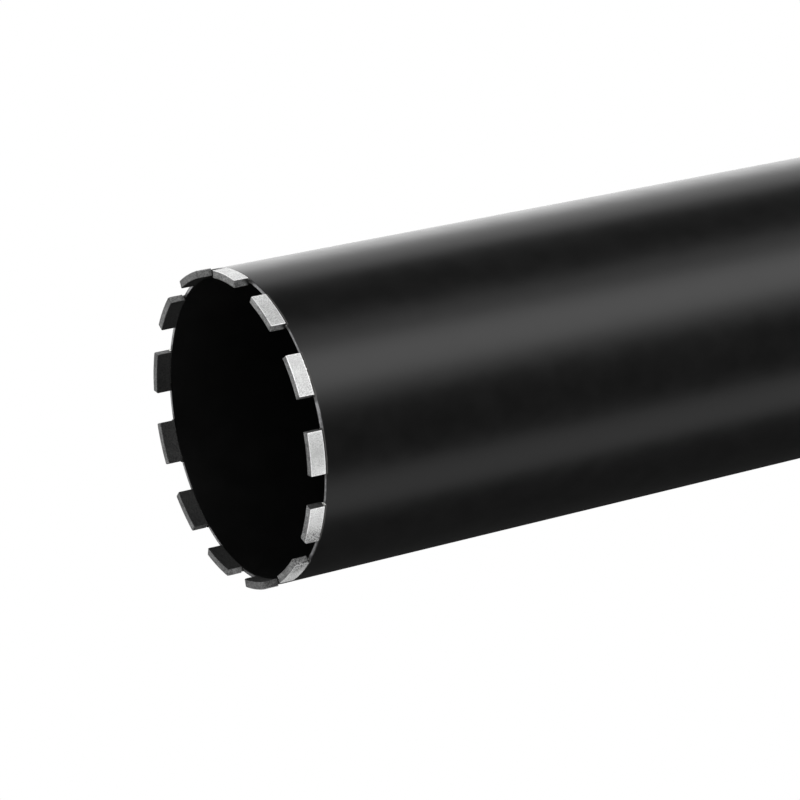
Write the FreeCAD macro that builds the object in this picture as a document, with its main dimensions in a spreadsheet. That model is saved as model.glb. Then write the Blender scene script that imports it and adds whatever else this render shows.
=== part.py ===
import FreeCAD, Part
import math
import os
from enum import IntEnum

import Sketcher

# Diamond core bit for concrete, standing on its cutting end as it does when it drills.
# The origin is the centre of the cutting plane and +Z runs along the axis to the threaded hub.
# The barrel is a rolled steel tube. Its rim carries a ring of curved diamond segments, each on a thin
# seam of braze filler. The other end is closed by a crown plate that holds the hub of the drilling machine.

# Driving sizes in millimetres: name, value and what it measures.
SIZES = (
    ("bit_diameter", 182.0, "across the outer faces of the segments"),
    ("segment_count", 13, "segments round the rim"),
    ("segment_length", 24.4, "between the two end faces of a segment"),
    ("segment_thickness", 4.5, "from the inner to the outer face of a segment"),
    ("segment_height", 9.2, "from the cutting face to the root of a segment"),
    ("cutting_corner_radius", 0.6, "rounding of the two corners that run in the cut"),
    ("segment_edge_chamfer", 0.3, "small bevel that breaks the edges of a segment"),
    ("outer_relief", 0.9, "how far the segments stand proud of the barrel"),
    ("seam_thickness", 0.8, "braze filler between a segment and the rim"),
    ("seam_overrun", 0.6, "how far the filler runs past each end of a segment"),
    ("barrel_wall", 2.3, "wall of the tube"),
    ("barrel_length", 450.0, "tube from its rim to the crown plate"),
    ("rim_bevel", 0.3, "deburred outer edge of the rim"),
    ("plate_thickness", 6.0, "flange of the crown plate"),
    ("plate_spigot", 4.0, "how far the crown plate reaches into the tube"),
    ("plate_bevel", 1.5, "turned edge on top of the crown plate"),
    ("spigot_clearance", 0.1, "gap on the radius between the spigot and the tube"),
    ("weld_groove", 1.8, "bevel on each side of the crown weld"),
    ("hub_diameter", 48.0, "turned body of the hub"),
    ("hub_height", 42.0, "hub above the crown plate"),
    ("hub_neck", 38.0, "diameter of the neck that passes through the crown plate"),
    ("neck_clearance", 0.1, "gap on the radius round the neck"),
    ("hub_bevel", 1.5, "outer edge on top of the hub"),
    ("hub_weld_leg", 5.0, "leg of the fillet weld round the hub"),
    ("wrench_flats", 41.0, "across the two wrench flats"),
    ("flats_height", 20.0, "length of the wrench flats, from the top of the hub"),
    ("thread_bore", 28.0, "minor diameter of the 1 1/4 inch thread"),
    ("thread_depth", 33.0, "length of the thread, from the top of the hub"),
    ("thread_lead_in", 2.0, "countersink at the mouth of the thread"),
    ("relief_bore", 32.6, "groove below the thread"),
    ("relief_width", 4.0, "width of that groove"),
    ("water_bore", 20.0, "bore that lets water into the barrel"),
)

FULL_TURN = 360.0
TOLERANCE = 1e-6
NOTHING_CUT = 1.0

# The order in which a sketch numbers its two axes and the points of a line or arc.
AxisLine = IntEnum("AxisLine", ("Y", "X"), start=-2)
Point = IntEnum("Point", ("START", "END", "CENTRE"))
ORIGIN = (AxisLine.X, Point.START)


class Length:
    """A length held both as a number and as the expression on the sheet that drives it."""

    def __init__(self, value, text):
        self.value = value
        self.text = text

    def __add__(self, other):
        return Length(self.value + other.value, f"({self.text} + {other.text})")

    def __sub__(self, other):
        return Length(self.value - other.value, f"({self.text} - {other.text})")

    def __neg__(self):
        return Length(-self.value, f"(-{self.text})")

    def half(self):
        return Length(self.value / 2, f"({self.text} / 2)")

    def times(self, factor):
        return Length(self.value * factor, f"({self.text} * {factor})")


NOUGHT = Length(0.0, "0")


def make_sheet(document):
    """Puts every driving size on the sheet under its own name."""
    sheet = document.addObject("Spreadsheet::Sheet", "sizes")
    for row, (name, value, meaning) in enumerate(SIZES, start=1):
        sheet.set(f"A{row}", name)
        sheet.set(f"B{row}", str(value))
        sheet.set(f"C{row}", meaning)
        sheet.setAlias(f"B{row}", name)
    document.recompute()
    return sheet


def length(name):
    """The driving size of that name."""
    values = {row[0]: row[1] for row in SIZES}
    return Length(float(values[name]), f"sizes.{name}")


def make_body(document, name):
    """An empty body whose label is the name of its piece."""
    body = document.addObject("PartDesign::Body", name)
    body.Label = name
    return body


def origin_plane(body, role):
    """One of the three planes through the body's own origin."""
    for feature in body.Origin.OriginFeatures:
        if feature.Role == role:
            return feature
    raise ValueError(role)


def make_sketch(body, name, role):
    """A sketch on one of the body's own origin planes."""
    sketch = body.newObject("Sketcher::SketchObject", name)
    sketch.AttachmentSupport = [(origin_plane(body, role), "")]
    sketch.MapMode = "FlatFace"
    return sketch


def drive(sketch, constraint, driving):
    """Adds a constraint that follows the sheet."""
    index = sketch.addConstraint(constraint)
    sketch.setExpression(f"Constraints[{index}]", driving.text)


def place_point(sketch, geometry, point, across, up):
    """Holds one point of the sketch at its two driving lengths from the origin."""
    if abs(across.value) < TOLERANCE:
        sketch.addConstraint(Sketcher.Constraint("PointOnObject", geometry, point, AxisLine.Y))
    else:
        drive(sketch, Sketcher.Constraint("DistanceX", *ORIGIN, geometry, point, across.value), across)
    if abs(up.value) < TOLERANCE:
        sketch.addConstraint(Sketcher.Constraint("PointOnObject", geometry, point, AxisLine.X))
    else:
        drive(sketch, Sketcher.Constraint("DistanceY", *ORIGIN, geometry, point, up.value), up)


def draw_profile(sketch, corners):
    """Closed outline of straight lines through the corners, each a pair of driving lengths."""
    count = len(corners)
    places = [FreeCAD.Vector(across.value, up.value, 0) for across, up in corners]
    lines = []
    for index, place in enumerate(places):
        line = Part.LineSegment(place, places[(index + 1) % count])
        lines.append(sketch.addGeometry(line, False))
    for index, line in enumerate(lines):
        following = lines[(index + 1) % count]
        sketch.addConstraint(Sketcher.Constraint("Coincident", line, Point.END, following, Point.START))
    for line, (across, up) in zip(lines, corners):
        place_point(sketch, line, Point.START, across, up)


def revolve(body, sketch, name):
    """Turns a sketch on the XZ plane once round the axis of the bit."""
    feature = body.newObject("PartDesign::Revolution", name)
    feature.Profile = sketch
    feature.ReferenceAxis = (sketch, ["V_Axis"])
    feature.Angle = FULL_TURN
    return feature


def turned_piece(document, name, corners):
    """A body turned from one outline of radius and height."""
    body = make_body(document, name)
    sketch = make_sketch(body, f"{name}_section", "XZ_Plane")
    draw_profile(sketch, corners)
    revolve(body, sketch, f"{name}_turning")
    return body


def lift(piece, height):
    """Seats a piece at its own height on the axis."""
    piece.setExpression("Placement.Base.z", height.text)


def turn_to_station(piece, index):
    """Turns a piece round the axis to its station on the rim."""
    piece.Placement.Rotation = FreeCAD.Rotation(FreeCAD.Vector(0, 0, 1), FULL_TURN / 4)
    piece.setExpression("Placement.Rotation.Angle", f"{index} * {FULL_TURN} deg / sizes.segment_count")


def draw_curved_bar(sketch, inner, outer, across):
    """Outline of a bar that is bent round the axis and has two parallel end faces.

    The outer and inner sides are arcs about the axis, and the ends are straight and a fixed length apart.
    """
    half = across.value / 2
    outer_sweep = math.asin(half / outer.value)
    inner_sweep = math.asin(half / inner.value)
    centre = FreeCAD.Vector(0, 0, 0)
    normal = FreeCAD.Vector(0, 0, 1)
    outer_circle = Part.Circle(centre, normal, outer.value)
    inner_circle = Part.Circle(centre, normal, inner.value)
    outer_arc = sketch.addGeometry(Part.ArcOfCircle(outer_circle, -outer_sweep, outer_sweep), False)
    inner_arc = sketch.addGeometry(Part.ArcOfCircle(inner_circle, -inner_sweep, inner_sweep), False)
    outer_reach = outer.value * math.cos(outer_sweep)
    inner_reach = inner.value * math.cos(inner_sweep)
    ends = []
    for side in (-half, half):
        line = Part.LineSegment(FreeCAD.Vector(inner_reach, side, 0), FreeCAD.Vector(outer_reach, side, 0))
        ends.append(sketch.addGeometry(line, False))
    for arc, radius in ((outer_arc, outer), (inner_arc, inner)):
        sketch.addConstraint(Sketcher.Constraint("Coincident", arc, Point.CENTRE, *ORIGIN))
        drive(sketch, Sketcher.Constraint("Radius", arc, radius.value), radius)
    offsets = (-across.half(), across.half())
    for line, arc_point, offset in zip(ends, (Point.START, Point.END), offsets):
        sketch.addConstraint(Sketcher.Constraint("Coincident", inner_arc, arc_point, line, Point.START))
        sketch.addConstraint(Sketcher.Constraint("Coincident", outer_arc, arc_point, line, Point.END))
        sketch.addConstraint(Sketcher.Constraint("Horizontal", line))
        drive(sketch, Sketcher.Constraint("DistanceY", *ORIGIN, line, Point.END, offset.value), offset)


def make_curved_bar(document, name, inner, outer, across, tall):
    """A body padded up from the outline of a curved bar."""
    body = make_body(document, name)
    sketch = make_sketch(body, f"{name}_outline", "XY_Plane")
    draw_curved_bar(sketch, inner, outer, across)
    pad = body.newObject("PartDesign::Pad", f"{name}_pad")
    pad.Profile = sketch
    pad.setExpression("Length", tall.text)
    return body, pad


def edges_where(shape, wanted):
    """Names of the edges for which the test holds."""
    return [f"Edge{number}" for number, edge in enumerate(shape.Edges, start=1) if wanted(edge)]


def lies_at_height(edge, height):
    """Whether the whole edge lies in one horizontal plane."""
    return all(abs(vertex.Point.z - height) < TOLERANCE for vertex in edge.Vertexes)


def is_straight(edge):
    """Whether the edge is a straight line."""
    return edge.Curve.TypeId == "Part::GeomLine"


def make_segment(document, index):
    """One sintered diamond segment, curved to the rim, with rounded cutting corners and broken edges."""
    name = f"segment_{index + 1:02d}"
    outer = length("bit_diameter").half()
    inner = outer - length("segment_thickness")
    body, pad = make_curved_bar(document, name, inner, outer, length("segment_length"), length("segment_height"))
    document.recompute()
    rounding = body.newObject("PartDesign::Fillet", f"{name}_cutting_corners")
    cutting_corners = edges_where(pad.Shape, lambda edge: lies_at_height(edge, 0.0) and is_straight(edge))
    rounding.Base = (pad, cutting_corners)
    rounding.setExpression("Radius", "sizes.cutting_corner_radius")
    document.recompute()
    bevel = body.newObject("PartDesign::Chamfer", f"{name}_broken_edges")
    cutting_edges = edges_where(rounding.Shape, lambda edge: lies_at_height(edge, 0.0) and not is_straight(edge))
    bevel.Base = (rounding, cutting_edges)
    bevel.setExpression("Size", "sizes.segment_edge_chamfer")
    turn_to_station(body, index)
    return body


def barrel_outer():
    """Outer radius of the tube."""
    return length("bit_diameter").half() - length("outer_relief")


def barrel_inner():
    """Inner radius of the tube."""
    return barrel_outer() - length("barrel_wall")


def rim_height():
    """Height of the rim above the cutting plane."""
    return length("segment_height") + length("seam_thickness")


def crown_height():
    """Height of the end of the tube that the crown plate closes."""
    return rim_height() + length("barrel_length")


def make_seam(document, index):
    """Braze filler between one segment and the rim, as wide as the tube's wall."""
    name = f"braze_seam_{index + 1:02d}"
    across = length("segment_length") + length("seam_overrun").times(2)
    body, _ = make_curved_bar(
        document, name, barrel_inner(), barrel_outer(), across, length("seam_thickness")
    )
    turn_to_station(body, index)
    lift(body, length("segment_height"))
    return body


def make_barrel(document):
    """The tube, with a deburred rim and a bevel for the weld at its other end."""
    tall = length("barrel_length")
    rim_bevel = length("rim_bevel")
    groove = length("weld_groove")
    corners = [
        (barrel_inner(), NOUGHT),
        (barrel_outer() - rim_bevel, NOUGHT),
        (barrel_outer(), rim_bevel),
        (barrel_outer(), tall - groove),
        (barrel_outer() - groove, tall),
        (barrel_inner(), tall),
    ]
    body = turned_piece(document, "barrel_tube", corners)
    lift(body, rim_height())
    return body


def make_crown_plate(document):
    """The plate that closes the tube: a flange on its end, a spigot inside it and a hole for the hub's neck."""
    hole = length("hub_neck").half() + length("neck_clearance")
    spigot = barrel_inner() - length("spigot_clearance")
    groove = length("weld_groove")
    bevel = length("plate_bevel")
    tall = length("plate_thickness")
    depth = -length("plate_spigot")
    corners = [
        (hole, depth),
        (spigot, depth),
        (spigot, NOUGHT),
        (barrel_outer() - groove, NOUGHT),
        (barrel_outer(), groove),
        (barrel_outer(), tall - bevel),
        (barrel_outer() - bevel, tall),
        (hole, tall),
    ]
    body = turned_piece(document, "crown_plate", corners)
    lift(body, crown_height())
    return body


def make_hub(document):
    """The hub: a turned boss with a neck through the crown plate, a stepped bore and two wrench flats."""
    neck = length("hub_neck").half()
    outside = length("hub_diameter").half()
    water = length("water_bore").half()
    thread = length("thread_bore").half()
    relief = length("relief_bore").half()
    top = length("hub_height")
    bevel = length("hub_bevel")
    lead_in = length("thread_lead_in")
    neck_end = -(length("plate_thickness") + length("plate_spigot"))
    thread_end = top - length("thread_depth")
    relief_end = thread_end - length("relief_width")
    corners = [
        (water, neck_end),
        (neck, neck_end),
        (neck, NOUGHT),
        (outside, NOUGHT),
        (outside, top - bevel),
        (outside - bevel, top),
        (thread + lead_in, top),
        (thread, top - lead_in),
        (thread, thread_end),
        (relief, thread_end),
        (relief, relief_end),
        (water, relief_end),
    ]
    body = turned_piece(document, "threaded_hub", corners)
    cut_wrench_flats(document, body, outside, top)
    lift(body, crown_height() + length("plate_thickness"))
    return body


def cut_wrench_flats(document, body, outside, top):
    """Mills the two flats down from the top of the hub and makes sure that they cut."""
    document.recompute()
    turned_volume = body.Shape.Volume
    near = length("wrench_flats").half()
    sketch = make_sketch(body, "threaded_hub_flats_outline", "XY_Plane")
    sketch.setExpression("AttachmentOffset.Base.z", top.text)
    for low, high in ((near, outside), (-outside, -near)):
        draw_rectangle(sketch, -outside, outside, low, high)
    flats = body.newObject("PartDesign::Pocket", "threaded_hub_flats")
    flats.Profile = sketch
    flats.setExpression("Length", "sizes.flats_height")
    document.recompute()
    if flats.Shape.Volume > turned_volume - NOTHING_CUT:
        raise ValueError("the wrench flats cut nothing")


def draw_rectangle(sketch, left, right, low, high):
    """A rectangle of four lines held at its four driving sides."""
    draw_profile(sketch, ((left, low), (right, low), (right, high), (left, high)))


def make_crown_weld(document):
    """Weld that fills the groove between the tube and the crown plate and is ground flush with both."""
    groove = length("weld_groove")
    corners = [
        (barrel_outer() - groove, NOUGHT),
        (barrel_outer(), -groove),
        (barrel_outer(), groove),
    ]
    body = turned_piece(document, "crown_weld", corners)
    lift(body, crown_height())
    return body


def make_hub_weld(document):
    """Fillet weld with a flat face in the corner between the crown plate and the hub."""
    leg = length("hub_weld_leg")
    outside = length("hub_diameter").half()
    corners = [
        (outside, NOUGHT),
        (outside + leg, NOUGHT),
        (outside, leg),
    ]
    body = turned_piece(document, "hub_weld", corners)
    lift(body, crown_height() + length("plate_thickness"))
    return body


def check_document(document, pieces):
    """Refuses a document with a failed object or a piece without a sound solid."""
    for item in document.Objects:
        if "Invalid" in item.State or "Error" in item.State:
            raise RuntimeError(f"{item.Label} failed: {item.State}")
    for piece in pieces:
        shape = piece.Shape
        if shape.isNull() or not shape.isValid() or len(shape.Solids) != 1:
            raise RuntimeError(f"{piece.Label} is not one sound solid")


def main():
    document = FreeCAD.newDocument("diamond_core_bit")
    make_sheet(document)
    stations = range(int(length("segment_count").value))
    pieces = [make_segment(document, index) for index in stations]
    pieces += [make_seam(document, index) for index in stations]
    pieces.append(make_barrel(document))
    pieces.append(make_crown_plate(document))
    pieces.append(make_hub(document))
    pieces.append(make_crown_weld(document))
    pieces.append(make_hub_weld(document))
    document.recompute()
    check_document(document, pieces)
    os.makedirs("parts", exist_ok=True)
    for piece in pieces:
        piece.Shape.exportStep(f"parts/{piece.Label}.step")
        print(piece.Label, round(piece.Shape.Volume, 2), "mm3")


main()
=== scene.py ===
import logging
import math
from dataclasses import dataclass, field
from enum import Enum
from itertools import product

import bpy
import numpy as np
from mathutils import Matrix, Vector


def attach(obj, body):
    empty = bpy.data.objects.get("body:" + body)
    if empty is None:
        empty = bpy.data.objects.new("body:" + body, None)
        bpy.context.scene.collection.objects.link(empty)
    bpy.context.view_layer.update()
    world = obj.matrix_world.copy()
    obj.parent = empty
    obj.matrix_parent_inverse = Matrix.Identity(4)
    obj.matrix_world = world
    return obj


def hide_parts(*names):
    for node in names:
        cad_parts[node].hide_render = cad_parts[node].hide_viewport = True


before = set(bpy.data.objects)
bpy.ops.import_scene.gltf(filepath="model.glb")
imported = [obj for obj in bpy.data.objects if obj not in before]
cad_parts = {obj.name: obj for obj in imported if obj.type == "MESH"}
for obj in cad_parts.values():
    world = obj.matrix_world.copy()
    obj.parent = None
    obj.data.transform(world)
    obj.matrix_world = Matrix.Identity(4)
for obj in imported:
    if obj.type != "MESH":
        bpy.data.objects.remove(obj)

# A wet diamond core bit: sintered segments brazed round a painted tube, closed by a crown plate and a
# threaded hub. Sizes are in metres, and the bit stands on its segments with its axis up +Z.

MM = 0.001
FULL_TURN = 2.0 * math.pi
SEGMENTS = 13
STATION_STEP = FULL_TURN / SEGMENTS
MERGE_DISTANCE = 1.0e-7
SMALL_LENGTH, SMALL_AREA = 1.0e-12, 1.0e-20

# Sizes shared by the pieces that meet.
SEGMENT_TOP = 9.2 * MM
RIM = 10.0 * MM
CROWN = 460.0 * MM
PLATE_TOP = 466.0 * MM
BARREL_BORE = 87.8 * MM
BARREL_RADIUS = 90.1 * MM

# Multipliers that mix a lattice cell into a random number, and the step from one layer's seed to the next.
CELL_MULTIPLIERS = np.array([73856093, 19349663, 83492791], dtype=np.uint32)
SEED_MULTIPLIER, MIXING_MULTIPLIER = 2654435761, np.uint32(2246822519)
LAYER_SEED_STEP = 17

Triple = tuple[float, float, float]
Socket = bpy.types.NodeSocket

log = logging.getLogger("core_bit")


# Fields of random detail

def lattice_values(cells: np.ndarray, seed: int) -> np.ndarray:
    """One fixed random number for each cell of a cubic lattice.

    A cell's three whole numbers are multiplied by large odd numbers, mixed by shifts and scaled to 0..1.

    Args:
        cells: whole lattice coordinates, one row of three for each point.
        seed: picks one of many unlike fields.

    Returns:
        A number from 0 to 1 for each row.
    """
    mixed = np.bitwise_xor.reduce(cells.astype(np.int64).astype(np.uint32) * CELL_MULTIPLIERS, axis=1)
    mixed ^= np.uint32(seed * SEED_MULTIPLIER & 0xFFFFFFFF)
    for shift in (16, 13, 16):
        mixed ^= mixed >> np.uint32(shift)
        mixed *= MIXING_MULTIPLIER
    return (mixed >> np.uint32(8)).astype(float) / float(1 << 24)


def smooth_noise(points: np.ndarray, cell: float, seed: int, layers: int = 1) -> np.ndarray:
    """A smooth random field, added over finer and finer cells, each half as large and half as strong.

    In one layer the lattice numbers round a point are blended by 3t^2 - 2t^3 along each axis.

    Args:
        points: one row of three coordinates for each point.
        cell: the spacing of the coarsest lattice, about the size of one bump.
        seed: picks one of many unlike fields.
        layers: how many layers are added.

    Returns:
        A number of about -1 to 1 for each point.
    """
    total = np.zeros(len(points))
    for layer in range(layers):
        scaled = points / (cell / 2**layer)
        base = np.floor(scaled)
        part = scaled - base
        part = part * part * (3.0 - 2.0 * part)
        blended = np.zeros(len(points))
        for corner in product((0, 1), repeat=3):
            weight = np.prod(np.where(np.array(corner) == 1, part, 1.0 - part), axis=1)
            blended += weight * lattice_values(base + np.array(corner), seed + LAYER_SEED_STEP * layer)
        total += (2.0 * blended - 1.0) / 2**layer
    return total / (2.0 - 2.0 ** (1 - layers))


# Surfaces

def place(
    name: str, data: bpy.types.ID, axes: tuple[Vector, ...] = (), at: Triple | Vector = (0.0, 0.0, 0.0)
) -> bpy.types.Object:
    """Puts a mesh, a lamp or a camera into the scene as an object.

    Args:
        name: the object's name.
        data: what it shows.
        axes: the directions of its own x, y and z, for a lamp or camera that is turned.
        at: the place of a lamp or camera.

    Returns:
        The object.
    """
    made = bpy.data.objects.new(name, data)
    bpy.context.scene.collection.objects.link(made)
    if axes:
        made.matrix_world = Matrix.Translation(Vector(at)) @ Matrix(axes).transposed().to_4x4()
    return made


@dataclass
class Skin:
    """A closed surface of four-sided faces, with a number for each point under each mask name."""

    points: np.ndarray
    faces: np.ndarray
    masks: dict[str, np.ndarray] = field(default_factory=dict)

    def welded(self) -> "Skin":
        """Merges points that lie together, and leaves out faces that shrank to nothing.

        Returns:
            The merged surface.
        """
        keys = np.round(self.points / MERGE_DISTANCE).astype(np.int64)
        _, first, merged = np.unique(keys, axis=0, return_index=True, return_inverse=True)
        faces = merged.reshape(-1)[self.faces]
        folded = (faces[:, 0] == faces[:, 2]) | (faces[:, 1] == faces[:, 3])
        kinds = 1 + np.count_nonzero(np.diff(np.sort(faces, axis=1), axis=1), axis=1)
        masks = {name: values[first] for name, values in self.masks.items()}
        return Skin(self.points[first], faces[(kinds >= 3) & ~folded], masks)

    def normals(self) -> np.ndarray:
        """The outward direction at each point: its faces' crossed diagonals, added and made unit length.

        Returns:
            One row of three for each point.
        """
        corners = self.points[self.faces]
        crossed = np.cross(corners[:, 2] - corners[:, 0], corners[:, 3] - corners[:, 1])
        total = np.zeros_like(self.points)
        for corner in range(4):
            np.add.at(total, self.faces[:, corner], crossed)
        return total / np.maximum(np.linalg.norm(total, axis=1, keepdims=True), SMALL_AREA)

    def at_station(self, number: int) -> "Skin":
        """Turns a surface made on the +X side to its place in the ring.

        Args:
            number: the place round the ring, from 1.

        Returns:
            The turned surface.
        """
        angle = (number - 1) * STATION_STEP
        cosine, sine = math.cos(angle), math.sin(angle)
        turn = np.array([[cosine, -sine, 0.0], [sine, cosine, 0.0], [0.0, 0.0, 1.0]])
        return Skin(self.points @ turn.T, self.faces, self.masks)

    def piece(self, name: str, node: str, slot: str, material: bpy.types.Material) -> None:
        """Puts the surface into the scene in place of a CAD node, riding on the root body.

        Args:
            name: the new object's name.
            node: the CAD node that it stands for.
            slot: the record's material slot, which is not used.
            material: its finish.
        """
        mesh = bpy.data.meshes.new(name)
        corners = [[a for a, b in zip(face, face[1:] + face[:1]) if a != b] for face in self.faces.tolist()]
        mesh.from_pydata(self.points.tolist(), [], corners)
        for mask, values in self.masks.items():
            layer = mesh.attributes.new(mask, "FLOAT", "POINT")
            layer.data.foreach_set("value", values.astype(np.float32))
        mesh.polygons.foreach_set("use_smooth", np.ones(len(mesh.polygons), dtype=bool))
        mesh.materials.append(material)
        mesh.update()
        made = place(name, mesh)
        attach(made, "root")
        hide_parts(node)
        log.info("%s: %d faces in place of %s", name, len(mesh.polygons), node)


def grid_faces(
    rows: int, columns: int, wrap_rows: bool = False, wrap_columns: bool = False, climb: int = 0
) -> np.ndarray:
    """Faces of a grid whose points are numbered row by row.

    Args:
        rows: points from the first row to the last.
        columns: points along a row.
        wrap_rows: whether the last row joins the first.
        wrap_columns: whether each row closes on itself.
        climb: how many rows lower a row's end meets the first column, where the rows follow a helix.

    Returns:
        Four point numbers for each face, turning from row i to row i + 1 and then along the row.
    """
    i, j = np.meshgrid(np.arange(rows - 1 + wrap_rows), np.arange(columns - 1 + wrap_columns), indexing="ij")
    below, beside = (i + 1) % rows, (j + 1) % columns
    step = np.where(j == columns - 1, climb, 0)
    across, across_below = (np.clip(row - step, 0, rows - 1) * columns + beside for row in (i, below))
    corners = [i * columns + j, across, across_below, below * columns + j]
    return np.stack([corner.ravel() for corner in corners], axis=1)


def even_angles(count: int) -> np.ndarray:
    """Angles evenly round the axis, from 0."""
    return np.arange(count) * FULL_TURN / count


def round_axis(radius: np.ndarray, angle: np.ndarray, height: np.ndarray | float) -> np.ndarray:
    """Points round the axis: x = r cos(angle), y = r sin(angle), z = height.

    Args:
        radius: the distances from the axis, as a grid or as one column.
        angle: the angles, as a grid or as one row.
        height: the heights, as a grid, as one column or as one number.

    Returns:
        One row of three coordinates for each place of the grid, row by row.
    """
    grids = np.broadcast_arrays(radius * np.cos(angle), radius * np.sin(angle), height)
    return np.stack(grids, axis=2).reshape(-1, 3)


def part_of(amount: np.ndarray, full: float) -> np.ndarray:
    """How much of a full amount is reached, held between 0 and 1."""
    return np.clip(amount / full, 0.0, 1.0)


def polar(points: np.ndarray) -> tuple[np.ndarray, np.ndarray]:
    """The radius and the angle of each point round the axis."""
    return np.hypot(points[:, 0], points[:, 1]), np.arctan2(points[:, 1], points[:, 0])


def with_radius(points: np.ndarray, radius: np.ndarray) -> np.ndarray:
    """The same points moved straight out or in to new radii."""
    old, _ = polar(points)
    return np.column_stack([points[:, 0] * radius / old, points[:, 1] * radius / old, points[:, 2]])


@dataclass(frozen=True)
class Corner:
    """A corner of a turned outline: its radius and height on the bit, and how round it is."""

    across: float
    height: float
    rounding: float = 0.0


def outline(corners: list[Corner], spacing: float, arc_steps: int = 4) -> np.ndarray:
    """A closed outline with rounded corners, for turning round the axis.

    Each corner becomes an arc that touches both of its edges, drawn as a quadratic curve from one touching
    point to the other with the corner between them, and the straight runs are divided evenly.

    Args:
        corners: the outline's corners, going anticlockwise when seen with the axis on the left.
        spacing: the longest step along a straight run.
        arc_steps: the steps along one rounded corner.

    Returns:
        One row of radius and height for each point.
    """
    places = np.array([[corner.across, corner.height] for corner in corners])
    roundings = np.array([[corner.rounding] for corner in corners])
    onward = np.roll(places, -1, axis=0) - places
    onward /= np.linalg.norm(onward, axis=1, keepdims=True)
    starts, ends = places - roundings * np.roll(onward, 1, axis=0), places + roundings * onward
    pieces = []
    for index, (start, corner, end) in enumerate(zip(starts, places, ends)):
        step = np.linspace(0.0, 1.0, arc_steps + 1)[:, None] if roundings[index] > 0 else np.zeros((1, 1))
        pieces.append((1 - step) ** 2 * start + 2 * step * (1 - step) * corner + step**2 * end)
        run = starts[(index + 1) % len(starts)] - end
        count = int(math.ceil(np.linalg.norm(run) / spacing))
        pieces.append(end + run * np.linspace(0.0, 1.0, count + 1)[1:-1, None])
    return np.vstack(pieces)


def turned(profile: np.ndarray, columns: int) -> Skin:
    """A profile carried once round the axis.

    Args:
        profile: a closed outline, one row of radius and height for each point.
        columns: the steps round the axis.

    Returns:
        The closed surface, with its faces pointing away from the material for an anticlockwise outline.
    """
    points = round_axis(profile[:, :1], even_angles(columns), profile[:, 1:])
    return Skin(points, grid_faces(len(profile), columns, wrap_rows=True, wrap_columns=True))


# Finishes

class Nodes:
    """A node tree, with a short call for each step that finishes and surroundings share."""

    def __init__(self, tree: bpy.types.NodeTree) -> None:
        """Keeps the tree that nodes are added to."""
        self.tree = tree

    def node(self, kind: str, **settings: object) -> bpy.types.Node:
        """Adds a node.

        Args:
            kind: Blender's name for the node.
            settings: properties of the node and their values.

        Returns:
            The new node.
        """
        made = self.tree.nodes.new(kind)
        for name, value in settings.items():
            setattr(made, name, value)
        return made

    def join(self, source: Socket, target: Socket) -> None:
        """Links an output to an input."""
        self.tree.links.new(source, target)

    def feed(self, target: Socket, value: object) -> None:
        """Gives an input a fixed value, or links an output to it.

        Args:
            target: the input.
            value: a number, a colour or an output.
        """
        if isinstance(value, Socket):
            self.join(value, target)
        else:
            target.default_value = value

    def maths(self, operation: str, *values: Socket | float) -> Socket:
        """Adds an arithmetic node.

        Args:
            operation: Blender's name for the operation.
            values: outputs or numbers, in its order.

        Returns:
            The result's output.
        """
        made = self.node("ShaderNodeMath", operation=operation)
        for target, value in zip(made.inputs, values):
            self.feed(target, value)
        return made.outputs[0]


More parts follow.
